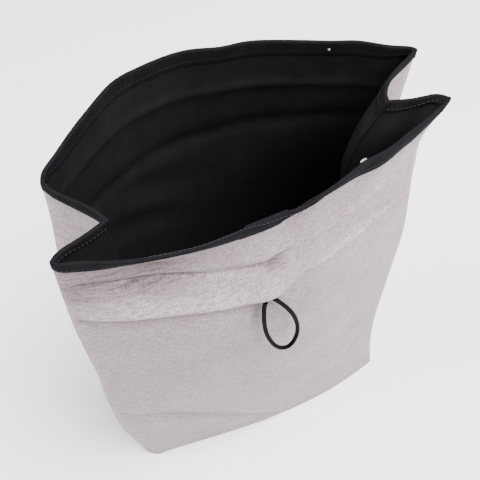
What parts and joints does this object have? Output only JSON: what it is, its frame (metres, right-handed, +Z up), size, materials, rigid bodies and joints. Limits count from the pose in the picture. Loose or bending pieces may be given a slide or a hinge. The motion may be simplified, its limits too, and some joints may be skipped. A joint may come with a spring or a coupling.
{
  "type": "potato storage bag",
  "caption": "Soft standing storage bag of natural linen with a dark cotton lining, bound rim, pleated sides, flat base and an elastic loop that holds the rolled top on a back button.",
  "frame": {"origin": "middle of the base, on the surface that the bag stands on", "axes": "+Z up, the front panel with the loop faces -Y, +X to the right of someone who looks at the front"},
  "size_m": [0.2679, 0.1533, 0.3582],
  "materials": {
    "linen": "plain-woven natural linen, matt, with slubs",
    "lining": "plain-woven black cotton, matt",
    "binding": "black twill tape folded over the rim and topstitched",
    "elastic": "round elastic cord with a braided black cover",
    "thread": "black polyester sewing thread",
    "button": "dark moulded button, satin"
  },
  "bodies": {
    "base": {"shell_base_panel": "linen", "lining_base_panel": "lining"},
    "front_wall": {"shell_front_panel": "linen", "lining_front_panel": "lining", "binding_front": "binding", "loop_bar_tack": "thread"},
    "back_wall": {"shell_back_panel": "linen", "lining_back_panel": "lining", "binding_back": "binding", "button_thread": "thread"},
    "left_side": {"shell_left_side": "linen", "lining_left_side": "lining"},
    "right_side": {"shell_right_side": "linen", "lining_right_side": "lining"},
    "left_front_gusset": {"shell_left_front_gusset": "linen", "lining_left_front_gusset": "lining", "binding_left_front_gusset": "binding"},
    "left_back_gusset": {"shell_left_back_gusset": "linen", "lining_left_back_gusset": "lining", "binding_left_back_gusset": "binding"},
    "right_front_gusset": {"shell_right_front_gusset": "linen", "lining_right_front_gusset": "lining", "binding_right_front_gusset": "binding"},
    "right_back_gusset": {"shell_right_back_gusset": "linen", "lining_right_back_gusset": "lining", "binding_right_back_gusset": "binding"},
    "loop": {"loop_cord": "elastic"},
    "button": {"closure_button": "button"}
  },
  "joints": [
    {"name": "mouth_close", "type": "hinge", "parent": "base", "child": "front_wall", "pos_m": [0, -0.046, 0], "axis": [-1, 0, 0], "range_deg": [-2.5, 2.6]},
    {"name": "back_wall_tilt", "type": "hinge", "parent": "base", "child": "back_wall", "pos_m": [0, 0.046, 0], "axis": [1, 0, 0], "range_deg": [-2.5, 2.6]},
    {"name": "left_side_tilt", "type": "hinge", "parent": "base", "child": "left_side", "pos_m": [-0.13, 0, 0], "axis": [0, 1, 0], "range_deg": [-1.3, 1.3]},
    {"name": "right_side_tilt", "type": "hinge", "parent": "base", "child": "right_side", "pos_m": [0.13, 0, 0], "axis": [0, -1, 0], "range_deg": [-1.3, 1.3]},
    {"name": "left_front_fold", "type": "hinge", "parent": "front_wall", "child": "left_front_gusset", "pos_m": [-0.13, -0.04, 0], "axis": [-0.0197, -0.0449, -0.9988], "range_deg": [-26, 26]},
    {"name": "left_back_fold", "type": "hinge", "parent": "back_wall", "child": "left_back_gusset", "pos_m": [-0.13, 0.04, 0], "axis": [0.0197, -0.0449, 0.9988], "range_deg": [-26, 26]},
    {"name": "right_front_fold", "type": "hinge", "parent": "front_wall", "child": "right_front_gusset", "pos_m": [0.13, -0.04, 0], "axis": [-0.0197, 0.0449, 0.9988], "range_deg": [-26, 26]},
    {"name": "right_back_fold", "type": "hinge", "parent": "back_wall", "child": "right_back_gusset", "pos_m": [0.13, 0.04, 0], "axis": [0.0197, 0.0449, -0.9988], "range_deg": [-26, 26]},
    {"name": "loop_swing", "type": "hinge", "parent": "front_wall", "child": "loop", "pos_m": [-0.01677, -0.06187, 0.28712], "axis": [-0.9994, 0.0339, 0.0004], "range_deg": [0, 150]},
    {"name": "button_tilt", "type": "hinge", "parent": "back_wall", "child": "button", "pos_m": [0, 0.0732, 0.23934], "axis": [1, 0, 0], "range_deg": [-12, 12], "stiffness_Nm_per_rad": 0.002}
  ],
  "couplings": [
    {"joint": "back_wall_tilt", "follows": "mouth_close", "ratio": 1},
    {"joint": "left_side_tilt", "follows": "mouth_close", "ratio": 0.45},
    {"joint": "right_side_tilt", "follows": "mouth_close", "ratio": 0.45},
    {"joint": "left_front_fold", "follows": "mouth_close", "ratio": 9.825},
    {"joint": "left_back_fold", "follows": "mouth_close", "ratio": 9.825},
    {"joint": "right_front_fold", "follows": "mouth_close", "ratio": 9.825},
    {"joint": "right_back_fold", "follows": "mouth_close", "ratio": 9.825}
  ]
}
